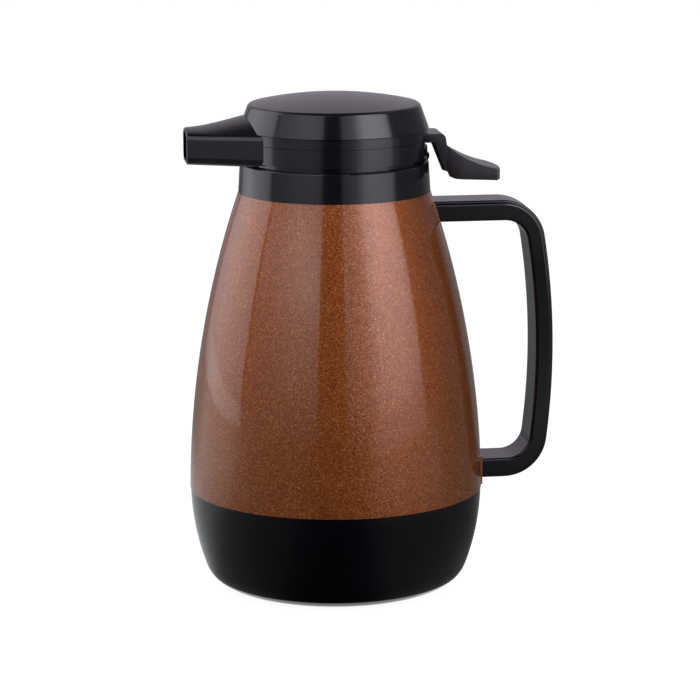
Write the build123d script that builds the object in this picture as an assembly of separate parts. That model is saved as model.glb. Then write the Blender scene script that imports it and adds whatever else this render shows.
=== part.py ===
from build123d import *
import math
import os

os.makedirs("parts", exist_ok=True)

# One-litre vacuum carafe with a lever-pour lid, in millimetres.
# The origin is on the body's axis, at the foot. +Z is up, +X points to the handle and -X to the spout.

# ---- clearances ----
seat_gap = 0.2          # between a piece that rests and its seat
slip_gap = 0.3          # between pieces that slide or turn past each other
shaft_gap = 0.05        # radial, between a shaft and its hole
snug_gap = 0.1          # between moulded pieces that locate each other
cut_past = 1.0          # how far a cutting shape reaches past what it cuts

# ---- base and shell ----
body_r = 67.3           # shell radius at the base seam
neck_r = 43.7           # shell radius at the collar seam
base_height = 45.4
shell_height = 137.1
shell_bulge = 5.6       # how far the shell's side stands out from a straight cone, half way up
shell_wall = 2.2
seam_step = 0.3         # the base stands in from the shell by this
base_tuck = 10.6        # how far the base's side leans in between seam and foot
base_bulge = 2.6        # how far it stands out from a straight cone
base_corner = 14.5      # radius between the side and the flat foot
base_wall = 2.6
base_floor = 5.0        # thickness of the foot's flat ring
lip_wall = 2.2          # the shell's lip inside the base
lip_length = 8.0
spigot_length = 5.3     # the shell's spigot inside the collar
spigot_wall = 2.0

# ---- screwed bottom cap and what stands on it ----
cap_disc_r = 40.0
cap_disc_t = 3.0
cap_thread_r = 37.5
cap_thread_wall = 2.5
cap_thread_length = 9.0
sleeve_wall = 2.4       # the base's threaded sleeve
grip_bar = 8.0          # bar between the two finger recesses
grip_recess_r = 21.0
grip_recess_depth = 8.0
pedestal_r = 26.8
pedestal_height = 8.5
pedestal_rim = 2.4
pedestal_rim_height = 4.0
cushion_t = 9.1
cushion_bore_r = 11.0   # room for the flask's sealed tip

# ---- vacuum flask ----
mouth_r = 22.0          # inside radius of the flask's neck
glass = 1.5
vacuum_gap = 3.2
shell_air = 5.0         # air between the flask and the shell
flask_bottom_round = 20.0
flask_neck_length = 16.0
flask_shoulder_drop = 17.0
flask_shoulder_round = 9.0
flask_neck_round = 10.0
flask_lip_drop = 10.0   # the flask's lip below the collar's rim
seal_tip_r = 3.0
seal_tip_length = 4.0
spacer_r = 5.0
spacer_rise = 42.6      # above the base seam
spacer_count = 3

# ---- collar ----
collar_height = 13.5
collar_top_r = 42.9
collar_wall = 2.0
collar_edge = 0.6
collar_deck_drop = 6.0  # the collar's inner deck below its rim
collar_deck_t = 2.0
collar_skirt_length = 5.0
collar_skirt_wall = 1.8
neck_seal_lap = 0.5     # the neck seal's bore is wider than the flask's mouth by this

# ---- handle ----
handle_w = 22.0
arm_t = 8.3
grip_t = 7.3
grip_reach = 31.8       # outer face of the grip's body, at its furthest, beyond the base seam
grip_mid_drop = 4.9     # the grip's furthest point below the middle of the handle
grip_bow_r = 336.0
arm_top_drop = 6.0      # upper arm's top below the shell's top
arm_low_rise = 3.35     # lower arm's underside above the base seam
handle_corner_r = 19.1
handle_edge = 1.2
grip_edge = 1.2         # edges on the fingers' side
handle_wall = 2.2
cover_w = 19.0
cover_proud = 0.9
cover_depth = 1.6
cover_edge = 0.9
pad_margin = 1.4        # the shell's flat pads are taller than the handle's ends
pad_w = 23.6
upper_pad_depth = 1.1   # how deep a pad's middle lies in the shell's side
lower_pad_depth = 0.45
pad_seat_t = 3.2        # from the pad's face to the screw's seat inside
boss_length = 11.0      # solid end of each arm
screw_r = 1.9
screw_head_r = 3.3
screw_head_t = 2.4
screw_length = 9.0
screw_spacing = 11.0

# ---- lid ----
lid_reveal = 2.2        # open line between collar and lid
lid_r = 42.3
lid_wall = 1.9
ring_height = 8.3
part_line = 0.2
band_height = 4.4
cone_foot_r = 42.95
cone_step = 0.4
cone_height = 11.3
cone_top_r = 39.0
dome_rise = 4.5
crown_edge = 2.2
tongue_wall = 1.4       # tongue of the lid's body inside its cap
tongue_height = 2.5
deck_t = 2.0
skirt_wall = 1.4
skirt_gap = 0.5
bore_r = 16.5
plug_wall = 2.2
plug_length = 22.2      # plug's underside below the lid's deck
seat_t = 2.0
seat_r = 9.0
plug_seal_t = 4.0
plug_seal_lift = 4.0    # seal above the plug's end
plug_flange_t = 1.5
plug_flange_gap = 1.2
chamber_height = 4.6    # chamber wall above the deck
post_r = 3.2
post_circle_r = 31.0
post_angle = 55.0
lid_screw_r = 1.4
lid_screw_head_r = 2.7
lid_screw_head_t = 1.8
lid_screw_length = 9.0
lug_r = 43.2
lug_half_w = 16.0
lug_height = 2.9
lug_drop = 1.3          # lug's underside below the lid's ring
lug_edge = 1.2

# ---- spout ----
spout_reach = 67.8
spout_mouth_half_w = 9.8
spout_flare = 0.43      # half-width gained per millimetre towards the lid
spout_bottom_rise = 0.7  # spout's underside above the collar's rim
spout_side_height = 13.4
spout_mouth_height = 15.9  # ridge of the roof at the mouth, above the spout's floor
spout_mouth_slope = 0.04  # the ridge's rise per millimetre near the mouth
spout_roof_slope = 0.25  # and towards the lid
spout_bend = 8.0        # the ridge turns up this far from the mouth
spout_bend_soft = 6.0
spout_wall = 1.8
spout_foot_edge = 3.6
spout_brow_edge = 3.0   # between side and roof
spout_lip_edge = 0.8    # around the mouth
spout_sections = 7
duct_half_w = 9.0
duct_height = 8.0
duct_wall = 1.3
duct_seal_t = 1.0

# ---- lever and its pin ----
pin_x = 34.5
pin_rise = 8.1          # pin above the lid's deck line
pin_r = 1.25
barrel_r = 2.8
barrel_half_w = 16.2
ear_t = 2.0
knuckle_half_w = 10.0
knuckle_t = 4.0
knuckle_rise = 2.3      # knuckle's top above the pin
lever_shoulder_x = 49.4
lever_shoulder_round = 3.4
lever_elbow_x = 50.3
lever_elbow_drop = 3.6  # below the pin
lever_elbow_round = 1.6
paddle_sag_x = 60.5
paddle_sag_drop = 9.75
lever_reach = 76.0
paddle_end_drop = 14.2
paddle_under_drop = 19.25
paddle_heel_x = 51.2
paddle_heel_drop = 17.2
paddle_belly_rise = 1.0  # the paddle's underside rises this much on its way to the heel
paddle_end_round = 1.6
paddle_heel_round = 1.2
lever_throat_x = 45.0
paddle_half_w = 13.0
paddle_flare_x = 56.0
paddle_end_bow = 3.25   # the paddle's end stands out this much in the middle
paddle_end_corner = 1.5
lever_shell_t = 1.9
slot_gap = 0.5
slot_depth = 3.6        # lever slot below the pin
prong_w = 3.2
prong_t = 2.6
prong_rise = 0.9        # prongs' underside above the pin
prong_gap = 5.2         # half the gap between the two prongs
nub_r = 1.5

# ---- valve ----
stem_r = 2.4
stem_foot = 1.6         # stem below the plug's seat
stem_above_head = 1.4
head_r = 9.5
head_t = 2.2
poppet_r = 13.0
poppet_t = 3.0
seal_t = 2.0
seal_bore_gap = 0.1
retainer_r = 7.5
guide_wall = 2.2
guide_length = 6.6
guide_cover_t = 1.8
stem_seal_r = 4.3
stem_seal_t = 1.6
stem_seal_recess = 1.1
spring_r = 6.2
spring_wire_r = 0.45
spring_turns = 6

# ---- places that follow from the sizes above ----
handle_reach = body_r + grip_reach
shell_top_z = base_height + shell_height
rim_z = shell_top_z + collar_height
collar_deck_z = rim_z - collar_deck_drop
flask_lip_z = rim_z - flask_lip_drop
flask_neck_z = flask_lip_z - flask_neck_length
flask_foot_z = cap_disc_t + pedestal_height + cushion_t + seat_gap
flask_floor_z = flask_foot_z + glass + vacuum_gap + glass
spacer_z = base_height + spacer_rise
lid_z = rim_z + lid_reveal
deck_top_z = lid_z + deck_t
part_z = lid_z + ring_height
band_z = part_z + band_height
crown_z = band_z + cone_height
top_z = crown_z + dome_rise
plug_end_z = lid_z - plug_length
valve_seat_z = plug_end_z + seat_t
chamber_top_z = deck_top_z + chamber_height
guide_top_z = chamber_top_z + guide_cover_t
pin_z = lid_z + pin_rise
plug_r = bore_r + plug_wall
arm_top_z = shell_top_z - arm_top_drop
arm_low_z = base_height + arm_low_rise
grip_mid_z = (arm_top_z + arm_low_z) / 2 - grip_mid_drop
spout_floor_z = rim_z + spout_bottom_rise
side_spans = 6          # points that a bowed side's curve is drawn through, less one


def circle_through(a, b, c):
    """Centre (r, z) and radius of the circle through three points."""
    d = 2 * (a[0] * (b[1] - c[1]) + b[0] * (c[1] - a[1]) + c[0] * (a[1] - b[1]))
    aa, bb, cc = (p[0] ** 2 + p[1] ** 2 for p in (a, b, c))
    r = (aa * (b[1] - c[1]) + bb * (c[1] - a[1]) + cc * (a[1] - b[1])) / d
    z = (aa * (c[0] - b[0]) + bb * (a[0] - c[0]) + cc * (b[0] - a[0])) / d
    return r, z, math.hypot(a[0] - r, a[1] - z)


def bowed_side(r0, z0, r1, z1, bulge):
    """Circle of a bowed side that starts at (r0, z0), ends at (r1, z1) and stands out by bulge."""
    return circle_through((r0, z0), ((r0 + r1) / 2 + bulge, (z0 + z1) / 2), (r1, z1))


def side_r(side, z, inset=0.0):
    """Radius of a bowed side at a height, moved inwards by inset."""
    return side[0] + math.sqrt((side[2] - inset) ** 2 - (z - side[1]) ** 2)


def side_curve(side, z0, z1, inset=0.0):
    """The bowed side as a curve between two heights."""
    heights = [z0 + (z1 - z0) * n / side_spans for n in range(side_spans + 1)]
    return Spline(*[(side_r(side, z, inset), z) for z in heights])


shell_side = bowed_side(body_r, base_height, neck_r, shell_top_z, shell_bulge)
base_side = bowed_side(body_r - seam_step, base_height, body_r - seam_step - base_tuck, 0, base_bulge)


def turned(*lines):
    """Solid of revolution about Z, from the (radius, height) lines of a closed outline."""
    edges = [edge for line in lines for edge in line.edges()]
    return revolve(Plane.XZ * make_face(edges), Axis.Z)


def ring(r0, r1, z0, z1):
    """Plain ring or disc between two radii and two heights."""
    corners = ((r0, z0), (r1, z0), (r1, z1), (r0, z1))
    return turned(Polyline(*corners, close=True))


def block(x0, x1, y0, y1, z0, z1):
    """Box between two corners."""
    return Pos((x0 + x1) / 2, (y0 + y1) / 2, (z0 + z1) / 2) * Box(x1 - x0, y1 - y0, z1 - z0)


def slab(x0, x1, half_w, z0, z1):
    """Box centred on the handle's plane."""
    return block(x0, x1, -half_w, half_w, z0, z1)


def rod(r, start, end):
    """Round bar between two points."""
    start, end = Vector(*start), Vector(*end)
    return extrude(Plane(start, z_dir=end - start) * Circle(r), (end - start).length)


def side_view(outline, half_w):
    """Extrude an (x, z) outline equally to both sides of the handle's plane."""
    return extrude(Plane.XZ * outline, half_w, both=True)


def save(node, solid):
    """Write one sub-part."""
    export_step(Compound(label=node, children=solid.solids()), f"parts/{node}.step")


# ---------------------------------------------------------------- base


def base_section(inset):
    """Half section of the base's outside, moved inwards by inset."""
    side = side_curve(base_side, inset, base_height, inset)
    top_r, toe_r = side_r(base_side, base_height, inset), side_r(base_side, inset, inset)
    rest = Polyline((top_r, base_height), (0, base_height), (0, inset), (toe_r, inset))
    section = make_face([*side.edges(), *rest.edges()])
    toe = section.vertices().sort_by_distance((toe_r, inset, 0))[0]
    return fillet(toe, base_corner - inset)


def sleeve_inner_r():
    """Bore of the base's threaded sleeve."""
    return cap_thread_r + snug_gap


def base_cover():
    """Glossy base: a bowl with a threaded sleeve around the opening for the bottom cap."""
    outside = revolve(Plane.XZ * base_section(0), Axis.Z)
    inside = revolve(Plane.XZ * base_section(base_wall), Axis.Z)
    bowl = outside - (inside - ring(0, body_r, 0, base_floor))
    top = cap_disc_t + cap_thread_length
    bowl += ring(sleeve_inner_r(), cap_disc_r + sleeve_wall, cap_disc_t, top)
    bowl -= ring(0, sleeve_inner_r(), 0, base_height)
    return bowl - ring(0, cap_disc_r + slip_gap, 0, cap_disc_t)


def bottom_cap():
    """Screwed cap that pushes the flask up against its neck seal; two finger recesses turn it."""
    pedestal_z = cap_disc_t + pedestal_height
    cap = ring(0, cap_disc_r, 0, cap_disc_t)
    cap += ring(cap_thread_r - cap_thread_wall, cap_thread_r, cap_disc_t, cap_disc_t + cap_thread_length)
    cap += ring(0, pedestal_r, cap_disc_t, pedestal_z)
    cap += ring(pedestal_r, pedestal_r + pedestal_rim, cap_disc_t, pedestal_z + pedestal_rim_height)
    recess = ring(0, grip_recess_r, 0, grip_recess_depth)
    return cap - (recess - slab(-body_r, body_r, grip_bar / 2, 0, grip_recess_depth))


# ---------------------------------------------------------------- vacuum flask


flask_inset = shell_wall + shell_air + glass + vacuum_gap + glass
flask_shoulder_z = flask_neck_z - flask_shoulder_drop


def flask_slope():
    """Fall of the flask's shoulder per millimetre of radius."""
    run = side_r(shell_side, flask_shoulder_z, flask_inset) - mouth_r
    return (flask_neck_z - flask_shoulder_z) / run


def flask_roof_z(r, out):
    """Height of the flask's sloping shoulder at a radius, moved outwards by out."""
    return flask_neck_z + (mouth_r - r) * flask_slope() + out * math.hypot(1, flask_slope())


def flask_section(out):
    """Half section of the flask's inside, moved outwards by out."""
    inset, floor_z, neck_out_r = flask_inset - out, flask_floor_z - out, mouth_r + out
    low_r, high_r = side_r(shell_side, floor_z, inset), side_r(shell_side, shell_top_z, inset)
    side = side_curve(shell_side, floor_z, shell_top_z, inset)
    rest = Polyline((high_r, shell_top_z), (0, shell_top_z), (0, floor_z), (low_r, floor_z))
    under_roof = Polyline((0, 0), (body_r, 0), (body_r, flask_roof_z(body_r, out)),
                          (0, flask_roof_z(0, out)), close=True)
    neck = Pos(neck_out_r / 2, (floor_z + flask_lip_z) / 2) * Rectangle(neck_out_r, flask_lip_z - floor_z)
    section = (make_face([*side.edges(), *rest.edges()]) & make_face(under_roof)) + neck
    shoulder_r = side_r(shell_side, flask_shoulder_z, inset)
    corners = ((low_r, floor_z, flask_bottom_round + out),
               (shoulder_r, flask_roof_z(shoulder_r, out), flask_shoulder_round + out),
               (neck_out_r, flask_roof_z(neck_out_r, out), flask_neck_round - out))
    for r, z, radius in corners:
        section = fillet(section.vertices().sort_by_distance((r, z, 0))[0], radius)
    return section


def flask_solid(out):
    """The flask's inside as a solid, moved outwards by out."""
    return revolve(Plane.XZ * flask_section(out), Axis.Z)


inner_bottle_out = glass
outer_bottle_in = glass + vacuum_gap
outer_bottle_out = glass + vacuum_gap + glass


def liner_inner():
    """Inner silvered bottle, with the lip that closes the vacuum space at the top."""
    bottle = flask_solid(inner_bottle_out)
    lip = ring(0, mouth_r + outer_bottle_out, flask_lip_z - glass, flask_lip_z)
    bottle = bottle + lip - flask_solid(0)
    lip_edges = bottle.edges().filter_by(GeomType.CIRCLE).group_by(Axis.Z)[-1]
    return fillet(lip_edges.sort_by(SortBy.RADIUS)[-1], glass / 2)


def liner_outer():
    """Outer silvered bottle, with the sealed tip that it was pumped through."""
    bottle = flask_solid(outer_bottle_out) - flask_solid(outer_bottle_in)
    bottle -= ring(0, body_r, flask_lip_z - glass, rim_z)
    tip = rod(seal_tip_r, (0, 0, flask_foot_z), (0, 0, flask_foot_z - seal_tip_length))
    tip = fillet(tip.edges().group_by(Axis.Z)[0], seal_tip_r * 0.8)
    return bottle + tip


def spacer_pads():
    """Pads that hold the two bottles apart, in the vacuum space."""
    gap = side_r(shell_side, spacer_z, flask_inset)
    bar = rod(spacer_r, (gap - spacer_r, 0, spacer_z), (gap + outer_bottle_out + spacer_r, 0, spacer_z))
    gap_space = flask_solid(outer_bottle_in - seat_gap) - flask_solid(inner_bottle_out + seat_gap)
    turns = [360 * (n + 0.5) / spacer_count for n in range(spacer_count)]
    return Compound([(Rot(Z=turn) * bar & gap_space).solid() for turn in turns])


def liner_cushion():
    """Rubber ring between the bottom cap's pedestal and the flask."""
    low_z = cap_disc_t + pedestal_height
    return ring(cushion_bore_r, pedestal_r - seat_gap, low_z, low_z + cushion_t)


def neck_seal():
    """Seal between the flask's lip and the collar's deck."""
    deck_low_z = collar_deck_z - collar_deck_t
    return ring(mouth_r + neck_seal_lap, mouth_r + outer_bottle_out, flask_lip_z, deck_low_z)


# ---------------------------------------------------------------- shell, collar and handle


def pad_x(z):
    """Where the upper pad's face stands at a height."""
    return side_r(shell_side, z) - upper_pad_depth


def lower_pad_x():
    """Where the lower pad's upright face stands."""
    return body_r - lower_pad_depth


def lower_pad(start_x, end_x):
    """Upright block of the lower pad's width and height."""
    return slab(start_x, end_x, pad_w / 2, base_height, arm_low_z + arm_t + pad_margin)


def upper_pad_span():
    """Lowest and highest point of the upper pad."""
    return arm_top_z - arm_t - pad_margin, arm_top_z + cover_proud + pad_margin / 2


def upper_pad(upright_x):
    """Block of the upper pad's width and height, between its leaning face and an upright one."""
    low, high = upper_pad_span()
    outline = Polyline((upright_x, low), (pad_x(low), low), (pad_x(high), high), (upright_x, high),
                       close=True)
    return side_view(make_face(outline), pad_w / 2)


def screw_places():
    """Where the handle's screws seat inside the shell, under the cover's groove: (x, y, z)."""
    inboard = (arm_t + cover_depth) / 2
    upper = (pad_x(upper_pad_span()[1]) - pad_seat_t, arm_top_z - inboard)
    lower = (lower_pad_x() - pad_seat_t, arm_low_z + inboard)
    return [(x, y, z) for x, z in (upper, lower) for y in (-screw_spacing / 2, screw_spacing / 2)]


def lip_r():
    """Outside radius of the shell's lip, which fits the base."""
    return side_r(base_side, base_height - lip_length, base_wall) - seat_gap


def outer_shell():
    """Painted shell: bowed side, a lip that fits the base, a spigot for the collar, two handle pads."""
    spigot_r = neck_r - collar_wall - snug_gap
    low_z, high_z = base_height + shell_wall, shell_top_z - shell_wall
    outside = side_curve(shell_side, base_height, shell_top_z)
    inside = side_curve(shell_side, low_z, high_z, shell_wall)
    spigot_in, spigot_z = spigot_r - spigot_wall, shell_top_z + spigot_length
    spigot = Polyline((neck_r, shell_top_z), (spigot_r, shell_top_z), (spigot_r, spigot_z),
                      (spigot_in, spigot_z), (spigot_in, high_z),
                      (side_r(shell_side, high_z, shell_wall), high_z))
    lip = Polyline((side_r(shell_side, low_z, shell_wall), low_z), (lip_r() - lip_wall, low_z),
                   (lip_r() - lip_wall, base_height - lip_length), (lip_r(), base_height - lip_length),
                   (lip_r(), base_height), (body_r, base_height))
    shell = turned(outside, spigot, inside, lip)
    shell += lower_pad(lower_pad_x() - pad_seat_t, lower_pad_x())
    shell += upper_pad(pad_x(upper_pad_span()[1]) - pad_seat_t)
    shell -= lower_pad(lower_pad_x(), body_r + cut_past) + upper_pad(body_r)
    for x, y, z in screw_places():
        shell -= rod(screw_r + seat_gap, (x - pad_seat_t, y, z), (x + 2 * pad_seat_t, y, z))
        shell -= rod(screw_head_r + slip_gap, (x - screw_head_t - slip_gap, y, z), (x, y, z))
    return shell


def collar():
    """Neck collar: outer wall, an inner deck around the mouth and a skirt that centres the flask."""
    top_in = collar_top_r - collar_wall
    low_in = neck_r - collar_wall
    deck_low_z = collar_deck_z - collar_deck_t
    skirt_in = mouth_r + outer_bottle_out + seat_gap
    skirt_low_z = deck_low_z - collar_skirt_length
    hole_r = mouth_r + neck_seal_lap
    body = turned(Polyline((neck_r, shell_top_z), (collar_top_r, rim_z), (top_in, rim_z),
                           (top_in, collar_deck_z), (hole_r, collar_deck_z), (hole_r, deck_low_z),
                           (skirt_in, deck_low_z), (skirt_in, skirt_low_z),
                           (skirt_in + collar_skirt_wall, skirt_low_z),
                           (skirt_in + collar_skirt_wall, deck_low_z),
                           (low_in, deck_low_z), (low_in, shell_top_z), close=True))
    rim_edges = body.edges().filter_by(GeomType.CIRCLE).group_by(Axis.Z)[-1]
    return fillet(rim_edges, collar_edge)


def handle_region(grow, grip_grow):
    """Area inside the handle's outer line, moved outwards by grow at the arms, grip_grow at the grip."""
    centre_x = handle_reach - grip_bow_r
    height = arm_top_z - arm_low_z + 2 * grow
    strip = Pos(handle_reach, (arm_top_z + arm_low_z) / 2) * Rectangle(2 * handle_reach, height)
    region = strip & Pos(centre_x, grip_mid_z) * Circle(grip_bow_r + grip_grow)
    corners = region.vertices().sort_by(Axis.X)[-2:]
    return fillet(corners, handle_corner_r + grow)


def body_side():
    """Everything on the body's side of the two pads' faces."""
    low, high = upper_pad_span()
    split_z = (arm_top_z + arm_low_z) / 2
    lean = (pad_x(high) - pad_x(low)) / (high - low)
    far = -handle_reach
    outline = Polyline((far, 0), (lower_pad_x(), 0), (lower_pad_x(), split_z),
                       (pad_x(low) + lean * (split_z - low), split_z),
                       (pad_x(low) + lean * (rim_z - low), rim_z), (far, rim_z), close=True)
    return side_view(make_face(outline), handle_w)


def arm_ends():
    """Solid ends of the two arms, for the screws."""
    split_z = (arm_top_z + arm_low_z) / 2
    upper_end = pad_x(upper_pad_span()[0]) + boss_length
    return slab(0, lower_pad_x() + boss_length, handle_w / 2, 0, split_z) + slab(
        0, upper_end, handle_w / 2, split_z, rim_z)


def handle():
    """Handle body: a channel, open outwards along its length, with solid ends for the screws."""
    outside = side_view(handle_region(0, 0), handle_w / 2)
    outside = fillet(outside.faces().filter_by(Axis.Y).edges(), handle_edge) - body_side()
    bar = outside - side_view(handle_region(-arm_t, -grip_t), handle_w / 2)
    along = [edge for edge in new_edges(outside, combined=bar) if edge.length > arm_t]
    bar = fillet([edge for edge in along if abs(edge.center().Y) > handle_w / 2 - snug_gap], grip_edge)
    groove = side_view(handle_region(cover_proud, cover_proud) - handle_region(-cover_depth, -cover_depth),
                       cover_w / 2 + seat_gap)
    hollow = side_view(handle_region(0, 0) - handle_region(handle_wall - arm_t, handle_wall - grip_t),
                       handle_w / 2 - handle_wall)
    bar = bar - groove - (hollow - arm_ends())
    for x, y, z in screw_places():
        bar -= rod(screw_r + shaft_gap, (x, y, z), (x + screw_length + seat_gap, y, z))
    return bar


def handle_cover():
    """Crowned strip that closes the handle's outer side."""
    outside = side_view(handle_region(cover_proud, cover_proud), cover_w / 2)
    outside = fillet(outside.faces().filter_by(Axis.Y).edges(), cover_edge)
    return outside - side_view(handle_region(-cover_depth, -cover_depth), handle_w / 2) - body_side()


def handle_screws():
    """Four screws, driven from inside the shell into the ends of the handle."""
    screws = []
    for x, y, z in screw_places():
        screw = rod(screw_r, (x, y, z), (x + screw_length, y, z))
        head = rod(screw_head_r, (x - screw_head_t, y, z), (x, y, z))
        screws.append(screw + fillet(head.edges().group_by(Axis.X)[0], screw_head_t / 3))
    return Compound([s.solid() for s in screws])


# ---------------------------------------------------------------- lid


def lid_outline(shrink, low_z):
    """Half section of the lid's outside, moved inwards by shrink, from low_z up."""
    lean = math.atan2(cone_foot_r - cone_top_r, cone_height - cone_step)
    foot_r, crown_r = (r - shrink / math.cos(lean) for r in (cone_foot_r, cone_top_r))
    below = Polyline((0, low_z), (lid_r - shrink, low_z), (lid_r - shrink, band_z),
                     (foot_r, band_z + cone_step), (crown_r, crown_z), (crown_r, top_z), (0, top_z),
                     close=True)
    sphere_r = (cone_top_r ** 2 + dome_rise ** 2) / (2 * dome_rise)
    return make_face(below) & Pos(0, top_z - sphere_r) * Circle(sphere_r - shrink)


def lid_outside(shrink=0.0, low_z=part_z):
    """The lid's outside as a solid, moved inwards by shrink, from low_z up."""
    return revolve(Plane.XZ * lid_outline(shrink, low_z), Axis.Z)


def post_places():
    """Centres of the lid's four screw posts: (x, y)."""
    angles = (post_angle, 180 - post_angle, 180 + post_angle, -post_angle)
    return [(post_circle_r * math.cos(math.radians(a)), post_circle_r * math.sin(math.radians(a)))
            for a in angles]


def lever_slot(low_z, high_z):
    """Room for the lever where it leaves the lid."""
    return slab(pin_x - barrel_r, lug_r + cut_past, barrel_half_w + slip_gap, low_z, high_z)


def slot_top_z():
    """Top of the lever's slot in the lid's cap."""
    return pin_z + knuckle_rise + slot_gap


def lid_cap():
    """Domed cover with four screw posts and the upper half of the lever's slot."""
    crown_corner = lid_outline(0, part_z).vertices().sort_by_distance((cone_top_r, crown_z, 0))[0]
    cap = revolve(Plane.XZ * fillet(crown_corner, crown_edge), Axis.Z) - lid_outside(lid_wall)
    for x, y in post_places():
        post = rod(post_r, (x, y, deck_top_z), (x, y, top_z)) & lid_outside(lid_wall / 2, lid_z)
        hole_top = lid_z + lid_screw_length + slip_gap
        cap += post - rod(lid_screw_r + shaft_gap, (x, y, lid_z), (x, y, hole_top))
    return cap - lever_slot(part_z, slot_top_z())


def plug_seal_z():
    """Underside of the plug's ring seal."""
    return plug_end_z + plug_seal_lift


def duct_box(grow):
    """Outside of the spout's duct where it passes through the lid, grown by grow."""
    low_z = lid_z + snug_gap - grow
    return slab(-lid_r - cut_past, 0, duct_half_w + grow, low_z, lid_z + snug_gap + duct_height + grow)


def lid_body():
    """Lower lid: ring, deck, neck skirt and the plug with the valve's seat and chamber."""
    tongue_r = lid_r - lid_wall - snug_gap
    skirt_r = collar_top_r - collar_wall - skirt_gap
    ring_z = part_z - part_line
    seal_z = plug_seal_z()
    body = ring(tongue_r - tongue_wall, lid_r, lid_z, ring_z)
    body += ring(tongue_r - tongue_wall, tongue_r, ring_z, part_z + tongue_height)
    body += ring(bore_r, lid_r, lid_z, deck_top_z)
    body += ring(skirt_r - skirt_wall, skirt_r, collar_deck_z + seat_gap, lid_z)
    body += ring(bore_r, plug_r, plug_end_z, chamber_top_z)
    body += ring(seat_r, plug_r, plug_end_z, valve_seat_z)
    for z in (seal_z - plug_flange_t, seal_z + plug_seal_t):
        body += ring(bore_r, mouth_r - plug_flange_gap, z, z + plug_flange_t)
    lug = ring(tongue_r, lug_r, lid_z - lug_drop, lid_z - lug_drop + lug_height)
    body += fillet((lug & slab(0, lug_r, lug_half_w, lid_z - lug_drop, part_z)).edges(), lug_edge)
    body -= lever_slot(pin_z - slot_depth, part_z + tongue_height)
    ear_low, ear_high = deck_top_z, pin_z + barrel_r
    ears = slab(pin_x - barrel_r, lid_r, barrel_half_w + slip_gap + ear_t, ear_low, ear_high)
    ears -= slab(pin_x - barrel_r, lid_r, barrel_half_w + slip_gap, ear_low, ear_high)
    body += ears & ring(0, tongue_r, ear_low, ear_high)
    body -= rod(pin_r, (pin_x, -pin_half_length(), pin_z), (pin_x, pin_half_length(), pin_z))
    for x, y in post_places():
        body -= rod(lid_screw_r + seat_gap, (x, y, lid_z - cut_past), (x, y, deck_top_z))
    port_half_w = duct_half_w - duct_wall
    port_low = lid_z + snug_gap + duct_wall
    port_high = port_low + duct_height - 2 * duct_wall
    outside_duct = duct_box(snug_gap) - ring(0, plug_r + seat_gap, lid_z - cut_past, top_z)
    return body - outside_duct - slab(-plug_r - cut_past, 0, port_half_w, port_low, port_high)


def pin_half_length():
    """Half the length of the lever's pin, from ear to ear."""
    return barrel_half_w + slip_gap + ear_t


def lever_pin():
    """Steel axle of the lever, held in the lid's two ears."""
    return rod(pin_r, (pin_x, -pin_half_length(), pin_z), (pin_x, pin_half_length(), pin_z))


def lid_screws():
    """Four screws that clamp the lid's two halves together, driven up from below."""
    screws = []
    for x, y in post_places():
        shank = rod(lid_screw_r, (x, y, lid_z), (x, y, lid_z + lid_screw_length))
        head = rod(lid_screw_head_r, (x, y, lid_z - lid_screw_head_t), (x, y, lid_z))
        screws.append((shank + fillet(head.edges().group_by(Axis.Z)[0], lid_screw_head_t / 3)).solid())
    return Compound(screws)


def plug_seal():
    """Ring seal around the plug, between two flanges."""
    z = plug_seal_z()
    seal = ring(plug_r, mouth_r - slip_gap, z, z + plug_seal_t)
    outer_edges = seal.edges().filter_by(GeomType.CIRCLE).group_by(SortBy.RADIUS)[-1]
    return fillet(outer_edges, plug_seal_t / 4)


def spout_ridge(inboard):
    """Height of the roof's ridge above the spout's floor: nearly level at first, then rising."""
    past, start = inboard - spout_bend, -spout_bend
    rise = (past + math.hypot(past, spout_bend_soft) - start - math.hypot(start, spout_bend_soft)) / 2
    return spout_mouth_height + spout_mouth_slope * inboard + (spout_roof_slope - spout_mouth_slope) * rise


def spout_section(x, inset):
    """The spout's section at x: flat floor, upright sides, a crowned roof and rounded corners."""
    inboard = spout_reach + x
    half_w = spout_mouth_half_w + spout_flare * inboard - inset
    low = spout_floor_z + inset
    side_top = spout_floor_z + spout_side_height - inset / 2
    ridge = spout_floor_z + spout_ridge(inboard) - inset
    base = Polyline((half_w, side_top), (half_w, low), (-half_w, low), (-half_w, side_top))
    roof = ThreePointArc((-half_w, side_top), (0, ridge), (half_w, side_top))
    face = make_face([*base.edges(), *roof.edges()])
    feet, brows = face.vertices().group_by(Axis.Y)
    face = fillet(feet, spout_foot_edge - inset)
    brows = [face.vertices().sort_by_distance(brow)[0] for brow in brows]
    return Plane((x, 0, 0), x_dir=(0, 1, 0), z_dir=(1, 0, 0)) * fillet(brows, spout_brow_edge - inset)


def spout_horn(inset, start_x):
    """Solid of the flared spout from start_x to inside the lid."""
    step = (-lid_r / 2 - start_x) / spout_sections
    return loft([spout_section(start_x + step * n, inset) for n in range(spout_sections + 1)])


def spout():
    """Spout moulding: the flared horn outside the lid and the duct that carries it to the chamber."""
    horn = spout_horn(0, -spout_reach)
    horn = fillet(horn.faces().sort_by(Axis.X)[0].edges(), spout_lip_edge)
    horn -= lid_outside(-snug_gap, rim_z)
    horn += duct_box(0) - ring(0, plug_r + seat_gap + duct_seal_t, rim_z, top_z)
    channel = spout_horn(spout_wall, -spout_reach - cut_past)
    channel -= ring(0, lid_r + spout_wall, rim_z, top_z)
    passage_low = lid_z + snug_gap + duct_wall
    passage = slab(-lid_r - 2 * spout_wall, 0, duct_half_w - duct_wall, passage_low,
                   passage_low + duct_height - 2 * duct_wall)
    return horn - channel - passage


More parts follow.
